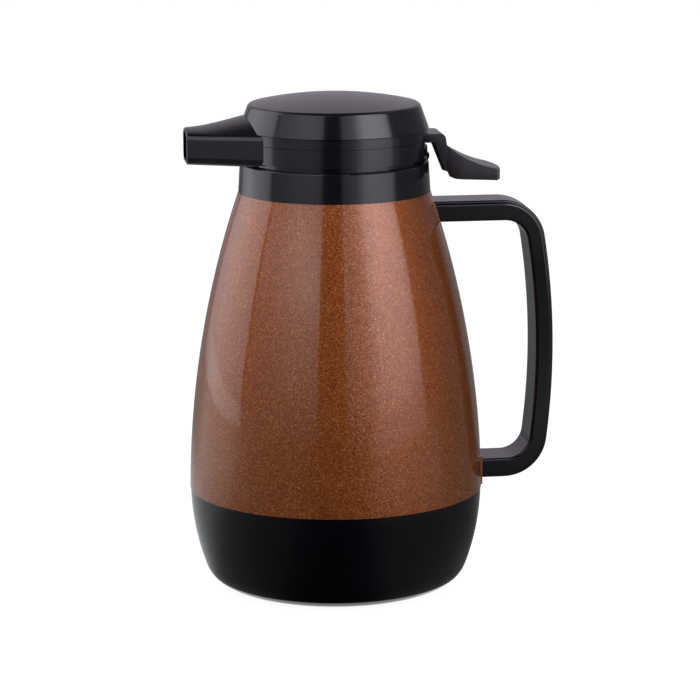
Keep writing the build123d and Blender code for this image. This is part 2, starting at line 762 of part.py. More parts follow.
def duct_seal():
    """Flat seal between the duct's end and the chamber wall."""
    frame = duct_box(0) & ring(plug_r + seat_gap, plug_r + seat_gap + duct_seal_t, lid_z, top_z)
    low = lid_z + snug_gap + duct_wall
    port = slab(-lid_r, 0, duct_half_w - duct_wall, low, low + duct_height - 2 * duct_wall)
    return frame - port


def chamber_cover():
    """Cover of the valve chamber, with the tube that guides the stem and centres the spring."""
    hole_r = stem_r + shaft_gap
    cover = ring(hole_r, plug_r, chamber_top_z, guide_top_z)
    cover += ring(hole_r, hole_r + guide_wall, chamber_top_z - guide_length, chamber_top_z)
    return cover - ring(0, stem_seal_r + shaft_gap, guide_top_z - stem_seal_recess, guide_top_z)


def stem_seal():
    """Wiper seal around the stem, in the top of the chamber's cover."""
    low = guide_top_z - stem_seal_recess
    return ring(stem_r + shaft_gap, stem_seal_r, low, low + stem_seal_t)


# ---------------------------------------------------------------- lever


def lever_side():
    """Side view of the knuckle and the paddle outside the lid."""
    top = pin_z + knuckle_rise
    under = top - knuckle_t
    elbow = (lever_elbow_x, pin_z - lever_elbow_drop)
    sag = (paddle_sag_x, pin_z - paddle_sag_drop)
    end = (lever_reach, pin_z - paddle_end_drop)
    heel = (paddle_heel_x, pin_z - paddle_heel_drop)
    toe = (lever_reach, pin_z - paddle_under_drop)
    belly = (paddle_heel_x + barrel_r, toe[1] + paddle_belly_rise)
    start = Polyline(heel, (lever_throat_x, under), (pin_x, under), (pin_x, top), (lever_shoulder_x, top),
                     elbow)
    face = make_face([*start.edges(), *ThreePointArc(elbow, sag, end).edges(),
                      *Polyline(end, toe, belly, heel).edges()])
    rounds = (((lever_shoulder_x, top), lever_shoulder_round), (elbow, lever_elbow_round),
              (end, paddle_end_round), (heel, paddle_heel_round))
    for point, radius in rounds:
        face = fillet(face.vertices().sort_by_distance((*point, 0))[0], radius)
    return face


def lever_plan(shrink):
    """Plan of the lever's outer part: narrow at the knuckle, wider at the paddle, with a bowed end."""
    narrow = knuckle_half_w - shrink
    wide = paddle_half_w - shrink
    end = lever_reach - shrink
    corner_x = end - paddle_end_bow
    sides = Polyline((corner_x, wide), (paddle_flare_x, wide), (lever_elbow_x, narrow), (0, narrow),
                     (0, -narrow), (lever_elbow_x, -narrow), (paddle_flare_x, -wide), (corner_x, -wide))
    bow = ThreePointArc((corner_x, -wide), (end, 0), (corner_x, wide))
    face = make_face([*sides.edges(), *bow.edges()])
    ends = [face.vertices().sort_by_distance((corner_x, y, 0))[0] for y in (-wide, wide)]
    return extrude(fillet(ends, paddle_end_corner), top_z)


def lever():
    """Thumb lever: paddle open below, knuckle, hinge barrel and two prongs that lift the valve."""
    profile = side_view(lever_side(), paddle_half_w)
    hollow = (Pos(-lever_shell_t, 0, -lever_shell_t) * profile) & lever_plan(lever_shell_t)
    body = (profile & lever_plan(0)) - (hollow - slab(0, lever_throat_x, body_r, 0, top_z))
    body += rod(barrel_r, (pin_x, -barrel_half_w, pin_z), (pin_x, barrel_half_w, pin_z))
    prong_low = pin_z + prong_rise
    for y0 in (prong_gap, -prong_gap - prong_w):
        body += block(0, pin_x, y0, y0 + prong_w, prong_low, prong_low + prong_t)
        body += rod(nub_r, (0, y0, nub_top_z() - nub_r), (0, y0 + prong_w, nub_top_z() - nub_r))
    return body - rod(pin_r + shaft_gap, (pin_x, -body_r, pin_z), (pin_x, body_r, pin_z))


def nub_top_z():
    """Top of the prongs' rounded ends, just under the stem's head."""
    return pin_z + prong_rise + 2 * nub_r


# ---------------------------------------------------------------- valve


def head_low_z():
    """Underside of the stem's head, just above the prongs."""
    return nub_top_z() + seat_gap


def poppet_z():
    """Underside of the poppet, on its seal."""
    return valve_seat_z + seat_gap + seal_t


def valve_stem():
    """Stem with the poppet that carries the seal."""
    stem = ring(0, stem_r, valve_seat_z - stem_foot, head_low_z() + head_t + stem_above_head)
    return stem + ring(0, poppet_r, poppet_z(), poppet_z() + poppet_t)


def valve_seal():
    """Flat silicone disc that closes the plug's opening."""
    return ring(stem_r + seal_bore_gap, poppet_r, valve_seat_z + seat_gap, poppet_z())


def seal_retainer():
    """Collar under the seal, on the stem's foot."""
    return ring(stem_r + seal_bore_gap, retainer_r, valve_seat_z - stem_foot, valve_seat_z + seat_gap)


def stem_head():
    """Head on the stem's top, which the lever's prongs lift."""
    return ring(stem_r + seal_bore_gap, head_r, head_low_z(), head_low_z() + head_t)


def valve_spring():
    """Coil spring between the poppet and the chamber's cover."""
    low = poppet_z() + poppet_t + seat_gap + spring_wire_r
    high = chamber_top_z - seat_gap - spring_wire_r
    path = Pos(0, 0, low) * Helix((high - low) / spring_turns, high - low, spring_r)
    wire = Plane(path @ 0, z_dir=path % 0) * Circle(spring_wire_r)
    return sweep(wire, path)


for make in (base_cover, bottom_cap, liner_inner, liner_outer, spacer_pads, liner_cushion, neck_seal,
             outer_shell, collar, handle, handle_cover, handle_screws, lid_cap, lid_body, lever_pin,
             lid_screws, plug_seal, spout, duct_seal, chamber_cover, stem_seal, lever, valve_stem,
             valve_seal, seal_retainer, stem_head, valve_spring):
    save(make.__name__, make())
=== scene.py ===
import math

import bmesh
import bpy
from mathutils import Matrix, Vector


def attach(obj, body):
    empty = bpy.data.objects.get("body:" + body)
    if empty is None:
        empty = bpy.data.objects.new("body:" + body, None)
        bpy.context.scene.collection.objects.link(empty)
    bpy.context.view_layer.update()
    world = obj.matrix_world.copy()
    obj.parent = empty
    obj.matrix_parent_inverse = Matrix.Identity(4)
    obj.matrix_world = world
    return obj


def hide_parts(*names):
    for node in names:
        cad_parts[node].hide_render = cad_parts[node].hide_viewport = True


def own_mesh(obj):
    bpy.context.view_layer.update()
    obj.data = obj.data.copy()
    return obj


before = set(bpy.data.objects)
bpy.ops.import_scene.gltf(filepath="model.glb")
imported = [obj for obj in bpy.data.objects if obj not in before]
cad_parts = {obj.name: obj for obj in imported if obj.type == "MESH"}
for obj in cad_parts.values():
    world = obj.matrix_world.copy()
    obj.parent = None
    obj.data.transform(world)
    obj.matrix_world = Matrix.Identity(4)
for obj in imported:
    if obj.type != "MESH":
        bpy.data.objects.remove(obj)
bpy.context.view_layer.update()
scene = bpy.context.scene
scene.view_settings.view_transform = "Standard"

# ---- Camera ----
# Long lens on a stand, a little above the lid, turned a few degrees towards the spout's side. Its tilt and
# small pan and roll keep the carafe upright in the middle of the picture.
camera_turn = math.radians(-7.5)
camera_distance = 1.42360
camera_height = 0.399621
camera_down = 0.20186763
camera_pan = -0.00479511
camera_roll = -0.00394500
camera_data = bpy.data.cameras.new("studio_camera")
camera_data.lens = 162.698
camera_data.sensor_width = 36.0
camera_data.clip_start = 0.05
camera = bpy.data.objects.new("studio_camera", camera_data)
scene.collection.objects.link(camera)
camera.matrix_world = (
    Matrix.Rotation(camera_turn, 4, "Z")
    @ Matrix.Translation((0, -camera_distance, camera_height))
    @ Matrix.Rotation(camera_pan, 4, "Z")
    @ Matrix.Rotation(math.pi / 2 - camera_down, 4, "X")
    @ Matrix.Rotation(camera_roll, 4, "Z")
)
scene.camera = camera


# ---- White room and table ----
# The room is white to the eye, darker overhead in gloss, and a plain soft light on everything else.
# The table is white with a faint shadow, and reaches past the edge of the picture.
def add_nodes(tree, *kinds):
    """New nodes of the given kinds in a node tree."""
    return [tree.nodes.new("ShaderNode" + kind) for kind in kinds]


def join(tree, *pairs):
    """Links from output sockets to input sockets."""
    for source, target in pairs:
        tree.links.new(source, target)


def feed(tree, value, socket):
    """A socket's value: a link from another socket, or a fixed number or colour."""
    if isinstance(value, bpy.types.NodeSocket):
        tree.links.new(value, socket)
    else:
        socket.default_value = value


def maths(tree, operation, *values, clamp=False):
    """Math node on sockets or numbers; gives its result."""
    node = tree.nodes.new("ShaderNodeMath")
    node.operation = operation
    node.use_clamp = clamp
    for value, socket in zip(values, node.inputs):
        feed(tree, value, socket)
    return node.outputs[0]


def mix_colours(tree, share, first, second, blend="MIX"):
    """Colour mix of sockets or fixed values; gives its result."""
    node = tree.nodes.new("ShaderNodeMix")
    node.data_type = "RGBA"
    node.blend_type = blend
    share_socket, first_socket, second_socket = node.inputs[0], node.inputs[6], node.inputs[7]
    for value, socket in ((share, share_socket), (first, first_socket), (second, second_socket)):
        feed(tree, value, socket)
    return node.outputs[2]


def seen_directly(tree):
    """1 for rays from the camera, in gloss and through glass."""
    path = tree.nodes.new("ShaderNodeLightPath")
    gloss = maths(tree, "ADD", path.outputs["Is Glossy Ray"], path.outputs["Is Transmission Ray"])
    return maths(tree, "ADD", path.outputs["Is Camera Ray"], gloss, clamp=True)


def curve_node(tree, points, value):
    """Float curve through the points, fed by value; gives its result."""
    node = tree.nodes.new("ShaderNodeFloatCurve")
    curve = node.mapping.curves[0]
    curve.points[0].location = points[0]
    curve.points[1].location = points[-1]
    for point in points[1:-1]:
        curve.points.new(*point)
    node.mapping.update()
    tree.links.new(value, node.inputs["Value"])
    return node.outputs[0]


room_tint = (0.93, 0.95, 1.0, 1)
room_light = 0.62
# brightness of the room in gloss, from the horizon at 0 to straight overhead at 1
room_levels = ((0, 1.0), (0.15, 0.97), (0.4, 0.76), (0.65, 0.52), (0.82, 0.22), (0.92, 0.05), (1, 0.03))
gloss_tint = (1.0, 0.92, 1.04, 1)
world = bpy.data.worlds.new("white_room")
world.use_nodes = True
tree = world.node_tree
tree.nodes.clear()
light, backdrop, direction, height, path, mix, out = add_nodes(
    tree, "Background", "Background", "TexCoord", "SeparateXYZ", "LightPath", "MixShader", "OutputWorld")
light.inputs["Color"].default_value = room_tint
light.inputs["Strength"].default_value = room_light
to_camera = path.outputs["Is Camera Ray"]
brightness = maths(tree, "MAXIMUM", curve_node(tree, room_levels, height.outputs["Z"]), to_camera)
join(tree, (direction.outputs["Generated"], height.inputs[0]),
     (mix_colours(tree, to_camera, gloss_tint, (1, 1, 1, 1)), backdrop.inputs["Color"]),
     (brightness, backdrop.inputs["Strength"]), (seen_directly(tree), mix.inputs[0]),
     (light.outputs[0], mix.inputs[1]), (backdrop.outputs[0], mix.inputs[2]), (mix.outputs[0], out.inputs["Surface"]))
scene.world = world


def new_object(name, bm, *materials):
    """Object made from a bmesh, its place kept in its mesh."""
    mesh = bpy.data.meshes.new(name)
    bm.to_mesh(mesh)
    bm.free()
    for material in materials:
        mesh.materials.append(material)
    obj = bpy.data.objects.new(name, mesh)
    scene.collection.objects.link(obj)
    return obj


def blank_material(name):
    """Material with an empty node tree."""
    material = bpy.data.materials.new(name)
    material.use_nodes = True
    material.node_tree.nodes.clear()
    return material, material.node_tree


table_radius = 8.0
# the table's own brightness to the eye, the share of the light on it that shows on top of that, and the share
# of light that it gives back to the carafe
table_glow, table_shade, table_return = 0.93, 0.14, 0.5
table_white, tree = blank_material("white_table")
table, shade, glow, white, mix, out = add_nodes(
    tree, "BsdfDiffuse", "BsdfDiffuse", "Emission", "AddShader", "MixShader", "OutputMaterial")
table.inputs["Color"].default_value = (table_return, table_return, table_return, 1)
shade.inputs["Color"].default_value = (table_shade, table_shade, table_shade, 1)
glow.inputs["Color"].default_value = (1, 1, 1, 1)
glow.inputs["Strength"].default_value = table_glow
join(tree, (shade.outputs[0], white.inputs[0]), (glow.outputs[0], white.inputs[1]),
     (seen_directly(tree), mix.inputs[0]), (table.outputs[0], mix.inputs[1]), (white.outputs[0], mix.inputs[2]),
     (mix.outputs[0], out.inputs["Surface"]))
bm = bmesh.new()
bmesh.ops.create_circle(bm, cap_ends=True, segments=96, radius=table_radius)
new_object("studio_floor", bm, table_white)

# ---- Table card and screens ----
# Glowing card on the table and glowing screens round it, which only reflections see: a painted reflection of a dim room
# with a dark gap behind the camera, so the glossy black parts mirror that instead of a white one. Close to the object
# the card's glow is dimmer still, painted shade. Further out its glow in front of each softbox is a painted reflection
# of that softbox, as a polished table top would mirror it.
card_inner_radius = 0.0555
card_height = 0.0006
card_tint = (0.95, 0.99, 1.02, 1)
near_card_end, far_card_start = 0.14, 0.42
screen_radius = 2.2
screen_height = 2.4
screen_tint = (1.0, 0.91, 1.04, 1)
screen_top_gain, gain_height = 1.6, 1.5
# brightness by bearing: 0.5 is the camera's side, 0.25 its left, 0.75 its right, 0 and 1 behind the object
screen_levels = ((0, 0.35), (0.06, 0.33), (0.11, 0.18), (0.22, 0.18), (0.28, 0.17), (0.38, 0.13), (0.455, 0.10),
                 (0.475, 0.015), (0.53, 0.015), (0.555, 0.08), (0.62, 0.12), (0.72, 0.14), (0.85, 0.14),
                 (0.90, 0.18), (0.94, 0.33), (1, 0.35))
# glow of the card by bearing: near the object it is painted shade, further out a painted reflection of the softboxes
near_card_levels = ((0, 0.45), (0.04, 0.50), (0.125, 0.62), (0.20, 0.55), (0.30, 0.20), (0.41, 0.075),
                    (0.465, 0.010), (0.525, 0.010), (0.605, 0.11), (0.717, 0.12), (0.83, 0.11), (0.92, 0.28),
                    (1, 0.45))
far_card_levels = ((0, 0.18), (0.10, 0.22), (0.17, 0.75), (0.24, 0.85), (0.283, 0.45), (0.367, 0.16), (0.44, 0.11),
                   (0.468, 0.02), (0.522, 0.02), (0.545, 0.05), (0.578, 0.25), (0.62, 0.46), (0.653, 0.42),
                   (0.70, 0.38), (0.728, 0.36), (0.75, 0.15), (0.85, 0.12), (0.90, 0.17), (1, 0.18))


def band(tree, value, low, high, start=0.0, end=1.0):
    """Smooth step of value from low to high, giving start to end."""
    node = tree.nodes.new("ShaderNodeMapRange")
    node.interpolation_type = "SMOOTHSTEP"
    for label, number in (("From Min", low), ("From Max", high), ("To Min", start), ("To Max", end)):
        node.inputs[label].default_value = number
    tree.links.new(value, node.inputs["Value"])
    return node.outputs[0]


def glowing_by_bearing(name, tint, level):
    """Material that glows by its bearing from the table's middle; level makes the strength from it, the distance
    from the middle and the height."""
    material, tree = blank_material(name)
    coord, turn, split, glow, out = add_nodes(tree, "TexCoord", "Mapping", "SeparateXYZ", "Emission", "OutputMaterial")
    turn.inputs["Rotation"].default_value = (0, 0, -camera_turn)
    glow.inputs["Color"].default_value = tint
    join(tree, (coord.outputs["Object"], turn.inputs["Vector"]), (turn.outputs[0], split.inputs[0]))
    x, y, z = split.outputs
    bearing = maths(tree, "ARCTAN2", x, maths(tree, "MULTIPLY", y, -1.0))
    bearing = maths(tree, "ADD", maths(tree, "MULTIPLY", bearing, 1 / math.tau), 0.5)
    distance = maths(tree, "ADD", maths(tree, "MULTIPLY", x, x), maths(tree, "MULTIPLY", y, y))
    strength = level(tree, bearing, maths(tree, "SQRT", distance), z)
    join(tree, (strength, glow.inputs["Strength"]), (glow.outputs[0], out.inputs["Surface"]))
    return material


def card_level(tree, bearing, distance, height):
    """Painted shade close to the object, and further out a painted reflection as bright as the mirrored softboxes."""
    near = curve_node(tree, near_card_levels, bearing)
    far = curve_node(tree, far_card_levels, bearing)
    share = band(tree, distance, near_card_end, far_card_start)
    return maths(tree, "ADD", near, maths(tree, "MULTIPLY", share, maths(tree, "SUBTRACT", far, near)))


def screen_level(tree, bearing, distance, height):
    """A little brighter towards the top."""
    gain = band(tree, height, 0.0, gain_height, start=1.0, end=screen_top_gain)
    return maths(tree, "MULTIPLY", curve_node(tree, screen_levels, bearing), gain)


def spin_round(bm, points, steps, closed=False, axis=(0, 0, 1), centre=(0, 0, 0)):
    """Outline through the points, swept once round an axis."""
    verts = [bm.verts.new(point) for point in points]
    ends = verts[1:] + verts[:1] if closed else verts[1:]
    edges = [bm.edges.new(pair) for pair in zip(verts, ends)]
    bmesh.ops.spin(bm, geom=verts + edges, axis=axis, cent=centre, dvec=(0, 0, 0), angle=math.tau, steps=steps,
                   use_merge=True)


def for_reflections_only(name, start, end, material):
    """Ring or wall swept from the line start to end round the table, that only reflections see."""
    bm = bmesh.new()
    spin_round(bm, (start, end), 96)
    obj = new_object(name, bm, material)
    obj.visible_camera = obj.visible_diffuse = obj.visible_transmission = obj.visible_shadow = False


for_reflections_only("table_card", (card_inner_radius, 0, card_height), (screen_radius, 0, card_height),
                     glowing_by_bearing("card_glow", card_tint, card_level))
for_reflections_only("screens", (screen_radius, 0, card_height), (screen_radius, 0, screen_height),
                     glowing_by_bearing("screen_glow", screen_tint, screen_level))


# ---- Softboxes ----
# Two tall softboxes left and right of the camera with a dark gap between them, and one behind on the left.
# Each fades across its cloth, as a lamp behind a diffuser does.
softbox_low, softbox_high = 0.01, 1.15
softbox_tint = (1.0, 0.96, 1.03)


def even_points(values):
    """Curve points evenly spaced over 0 to 1."""
    return [(n / (len(values) - 1), value) for n, value in enumerate(values)]


def softbox(name, azimuth, radius, width, radiance, across, upward):
    """Upright light panel facing the object; azimuth is measured from the camera, to its right.
    across is its brightness from its left edge to its right one, upward from bottom to top."""
    height = softbox_high - softbox_low
    data = bpy.data.lights.new(name, "AREA")
    data.shape = "RECTANGLE"
    data.size, data.size_y = width, height
    data.energy = radiance * math.pi * width * height
    data.color = softbox_tint
    data.use_nodes = True
    tree = data.node_tree
    where, split = add_nodes(tree, "NewGeometry", "SeparateXYZ")
    join(tree, (where.outputs["Parametric"], split.inputs[0]))
    side = curve_node(tree, even_points(across), split.outputs["X"])
    rise = curve_node(tree, even_points(upward), split.outputs["Y"])
    join(tree, (maths(tree, "MULTIPLY", side, rise), tree.nodes["Emission"].inputs["Strength"]))
    lamp = bpy.data.objects.new(name, data)
    scene.collection.objects.link(lamp)
    lamp.visible_camera = False
    lamp.matrix_world = (
        Matrix.Rotation(camera_turn + math.radians(azimuth), 4, "Z")
        @ Matrix.Translation((0, -radius, (softbox_low + softbox_high) / 2))
        @ Matrix.Rotation(math.pi / 2, 4, "X"))


softbox("left_softbox", azimuth=-45, radius=0.80, width=0.98, radiance=1.9, across=(0.4, 0.52, 0.85, 1.0, 0.47),
        upward=(0.0, 0.27, 0.53, 0.95, 0.72, 0.60, 0.65, 0.80, 0.85))
softbox("right_softbox", azimuth=42.5, radius=0.80, width=1.06, radiance=3.7, across=(0.2, 0.31, 1.0, 0.93, 0.22),
        upward=(0.06, 0.74, 1.0, 0.9, 0.7))
softbox("rear_left_softbox", azimuth=-112, radius=0.85, width=1.05, radiance=1.8, across=(0.3, 0.65, 1.0, 1.0, 0.8),
        upward=(0.4, 0.9, 1.0, 0.9, 0.6))


# ---- Base ----
# Glossy black bowl under the shell, injection moulded and polished in the tool, with a threaded sleeve inside.
# It keeps a very faint ripple from moulding, and fine dust and wipe marks from handling.
def object_place(tree, stretch=(1.0, 1.0, 1.0)):
    """Object coordinates, scaled so that a texture runs long along an axis."""
    coord, scale = add_nodes(tree, "TexCoord", "Mapping")
    scale.inputs["Scale"].default_value = stretch
    join(tree, (coord.outputs["Object"], scale.inputs["Vector"]))
    return scale.outputs[0]


def noise(tree, vector, scale, detail=2.0, roughness=0.5):
    """Noise texture; gives its 0 to 1 result."""
    node = tree.nodes.new("ShaderNodeTexNoise")
    node.inputs["Scale"].default_value = scale
    node.inputs["Detail"].default_value = detail
    node.inputs["Roughness"].default_value = roughness
    tree.links.new(vector, node.inputs["Vector"])
    return node.outputs[0]


def moulded_surface():
    """Node group, the surface of a moulding: slightly uneven tone and gloss, spark-eroded grain, tool ripple, dust
    and wipe marks."""
    tree = bpy.data.node_groups.new("moulded_surface", "ShaderNodeTree")
    for label, value in (("Colour", (0.01, 0.01, 0.01, 1)), ("Dust Colour", (0.3, 0.3, 0.3, 1)), ("Roughness", 0.1),
                         ("Unevenness", 0.03), ("Grain", 0.0), ("Ripple", 0.1), ("Dust", 0.02)):
        kind = "NodeSocketColor" if isinstance(value, tuple) else "NodeSocketFloat"
        tree.interface.new_socket(label, in_out="INPUT", socket_type=kind).default_value = value
    for label, kind in (("Colour", "NodeSocketColor"), ("Roughness", "NodeSocketFloat"), ("Height", "NodeSocketFloat")):
        tree.interface.new_socket(label, in_out="OUTPUT", socket_type=kind)
    given, result = tree.nodes.new("NodeGroupInput").outputs, tree.nodes.new("NodeGroupOutput").inputs
    place = object_place(tree)
    cloud = noise(tree, place, scale=45.0, detail=3.0)
    grain = noise(tree, place, scale=2600.0, roughness=0.6)
    ripple = noise(tree, place, scale=70.0, detail=1.0)
    wipe_marks = noise(tree, object_place(tree, (1.0, 1.0, 0.12)), scale=420.0, detail=3.0, roughness=0.7)
    wipe = band(tree, wipe_marks, 0.55, 0.75)
    speck = band(tree, noise(tree, place, scale=1500.0, detail=1.0), 0.74, 0.80)
    shade = tree.nodes.new("ShaderNodeCombineColor")
    level = band(tree, cloud, 0.25, 0.75, start=0.82, end=1.18)
    join(tree, *[(level, socket) for socket in shade.inputs])
    tone = mix_colours(tree, 1.0, given["Colour"], shade.outputs[0], blend="MULTIPLY")
    haze = maths(tree, "MULTIPLY", cloud, 0.08)
    dust = maths(tree, "MULTIPLY", given["Dust"], maths(tree, "ADD", speck, haze))
    uneven = maths(tree, "ADD", maths(tree, "SUBTRACT", cloud, 0.5), maths(tree, "MULTIPLY", wipe, 0.5))
    rough = maths(tree, "ADD", given["Roughness"], maths(tree, "MULTIPLY", given["Unevenness"], uneven))
    rough = maths(tree, "ADD", rough, maths(tree, "MULTIPLY", dust, 2.0), clamp=True)
    height = maths(tree, "ADD", maths(tree, "MULTIPLY", given["Ripple"], ripple),
                   maths(tree, "MULTIPLY", given["Grain"], grain))
    join(tree, (mix_colours(tree, dust, tone, given["Dust Colour"]), result["Colour"]),
         (rough, result["Roughness"]), (height, result["Height"]))
    return tree


moulded = moulded_surface()


def bump(tree, shader, height, distance):
    """Height as a bump of the shader's normal; distance in metres."""
    node = tree.nodes.new("ShaderNodeBump")
    node.inputs["Distance"].default_value = distance
    join(tree, (height, node.inputs["Height"]), (node.outputs[0], shader.inputs["Normal"]))


def principled(name, **fixed):
    """Material with a Principled BSDF; fixed numbers and colours go on the shader's own sockets."""
    material, tree = blank_material(name)
    shader, out = add_nodes(tree, "BsdfPrincipled", "OutputMaterial")
    join(tree, (shader.outputs[0], out.inputs["Surface"]))
    for label, value in fixed.items():
        shader.inputs[label.replace("_", " ")].default_value = value
    return material, tree, shader


def moulding(name, values, bump_distance, **fixed):
    """Plastic or rubber moulding; values are those of the moulded surface."""
    material, tree, shader = principled(name, **fixed)
    surface = tree.nodes.new("ShaderNodeGroup")
    surface.node_tree = moulded
    for label, value in values.items():
        surface.inputs[label].default_value = value
    join(tree, (surface.outputs["Colour"], shader.inputs["Base Color"]),
         (surface.outputs["Roughness"], shader.inputs["Roughness"]))
    bump(tree, shader, surface.outputs["Height"], bump_distance)
    return material


def dress(material, *nodes):
    """The material on CAD nodes."""
    for node in nodes:
        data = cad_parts[node].data
        data.materials.clear()
        data.materials.append(material)


gloss_black = moulding(
    "gloss_black_plastic",
    {"Colour": (0.0013, 0.0010, 0.0020, 1), "Roughness": 0.07, "Unevenness": 0.03, "Ripple": 0.12, "Dust": 0.01},
    bump_distance=0.00002, IOR=1.5)
dress(gloss_black, "base_cover")

# ---- Bottom cap ----
# Plain black cap with two finger recesses, screwed into the base to push the flask up against its seal.
# Spark-eroded grain all over, a little dusty in use.
grained_black = moulding(
    "grained_black_plastic",
    {"Colour": (0.016, 0.016, 0.017, 1), "Roughness": 0.5, "Unevenness": 0.08, "Grain": 1.0, "Ripple": 0.0,
     "Dust": 0.06},
    bump_distance=0.00003)
dress(grained_black, "bottom_cap")

# ---- Vacuum flask ----
# Two blown glass bottles, one in the other, silvered on the sides that face each other and sealed at the lip.
# Blown glass is a little wavy, and the silvering has faint cloudy streaks.
def tones(tree, value, *stops):
    """Colour ramp through (position, colour) stops, fed by value; gives its result."""
    node = tree.nodes.new("ShaderNodeValToRGB")
    elements = node.color_ramp.elements
    elements[0].position, elements[1].position = stops[0][0], stops[-1][0]
    for position, _ in stops[1:-1]:
        elements.new(position)
    for element, (_, colour) in zip(elements, stops):
        element.color = (*colour, 1)
    tree.links.new(value, node.inputs[0])
    return node.outputs[0]


silvered, tree, shader = principled("silvered_glass", Metallic=1.0, Coat_Weight=1.0, Coat_Roughness=0.02, Coat_IOR=1.5)
cloudy = noise(tree, object_place(tree, (1.0, 1.0, 0.35)), scale=55.0, detail=4.0, roughness=0.6)
silver = tones(tree, cloudy, (0.3, (0.62, 0.63, 0.64)), (0.6, (0.86, 0.87, 0.88)))
join(tree, (silver, shader.inputs["Base Color"]),
     (band(tree, cloudy, 0.35, 0.7, start=0.12, end=0.04), shader.inputs["Roughness"]))
bump(tree, shader, noise(tree, object_place(tree), scale=40.0, detail=1.0), distance=0.0004)
dress(silvered, "liner_inner", "liner_outer")

# ---- Spacer pads ----
# Three pads of pressed mineral fibre, clamped between the two bottles to keep them apart. The fibres lie in
# the pad's plane.
felt, tree, shader = principled("pressed_fibre", Roughness=0.95, Sheen_Weight=0.2)
fibres = noise(tree, object_place(tree, (0.3, 1.0, 0.5)), scale=2500.0, detail=4.0, roughness=0.75)
fibre_colour = tones(tree, fibres, (0, (0.42, 0.40, 0.36)), (1, (0.80, 0.78, 0.73)))
join(tree, (fibre_colour, shader.inputs["Base Color"]))
bump(tree, shader, fibres, distance=0.0002)
dress(felt, "spacer_pads")

# ---- Flask cushion ----
# Moulded ring of black rubber that lies on the bottom cap and carries the flask. Matt, with a dusty bloom
# from moulding.
cushion_rubber = moulding(
    "cushion_rubber",
    {"Colour": (0.022, 0.022, 0.023, 1), "Dust Colour": (0.35, 0.34, 0.33, 1), "Roughness": 0.72, "Unevenness": 0.1,
     "Grain": 0.6, "Ripple": 0.3, "Dust": 0.25},
    bump_distance=0.00006)
dress(cushion_rubber, "liner_cushion")

# ---- Neck seal ----
# Flat moulded ring of translucent grey silicone, squeezed between the flask's lip and the collar when the
# bottom cap is screwed in.
silicone = moulding(
    "grey_silicone",
    {"Colour": (0.50, 0.50, 0.49, 1), "Dust Colour": (0.7, 0.7, 0.7, 1), "Roughness": 0.42, "Unevenness": 0.12,
     "Grain": 0.15, "Ripple": 0.5, "Dust": 0.1},
    bump_distance=0.00004, Subsurface_Weight=0.35, Subsurface_Radius=(0.002, 0.002, 0.0018))
dress(silicone, "neck_seal")

# ---- Shell ----
# Moulded shell, sprayed with copper-brown metallic paint under a clear coat. The paint's flakes lie at slightly
# different angles, so each catches the lamps on its own; the clear coat over them is smooth.
paint, tree, shader = principled("copper_flake_paint", Metallic=0.66, Specular_IOR_Level=0.12, Coat_Weight=1.0,
                                 Coat_Roughness=0.06, Coat_IOR=1.5)
flake_size = 0.0003
flake_lean = 0.16
flakes, tone, centre, lean, geometry, unit = add_nodes(
    tree, "TexVoronoi", "SeparateColor", "VectorMath", "VectorMath", "NewGeometry", "VectorMath")
flakes.inputs["Scale"].default_value = 1 / flake_size
centre.operation = "SUBTRACT"
centre.inputs[1].default_value = (0.5, 0.5, 0.5)
lean.operation = "MULTIPLY_ADD"
lean.inputs[1].default_value = (flake_lean, flake_lean, flake_lean)
unit.operation = "NORMALIZE"
copper = tones(tree, tone.outputs[0], (0, (0.105, 0.013, 0.0)), (0.92, (0.285, 0.090, 0.020)), (1, (0.52, 0.23, 0.08)))
spray = band(tree, noise(tree, object_place(tree), scale=60.0), 0.3, 0.7, start=0.46, end=0.52)
join(tree, (object_place(tree), flakes.inputs["Vector"]), (flakes.outputs["Color"], tone.inputs[0]),
     (flakes.outputs["Color"], centre.inputs[0]), (centre.outputs[0], lean.inputs[0]),
     (geometry.outputs["Normal"], lean.inputs[2]), (lean.outputs[0], unit.inputs[0]),
     (unit.outputs[0], shader.inputs["Normal"]), (copper, shader.inputs["Base Color"]),
     (spray, shader.inputs["Roughness"]))
dress(paint, "outer_shell")

# ---- Handle and handle cover ----
# Two mouldings in the base's gloss black: the handle's channel, screwed to the shell, and the crowned strip
# that is pressed into it and closes it.
dress(gloss_black, "handle", "handle_cover")


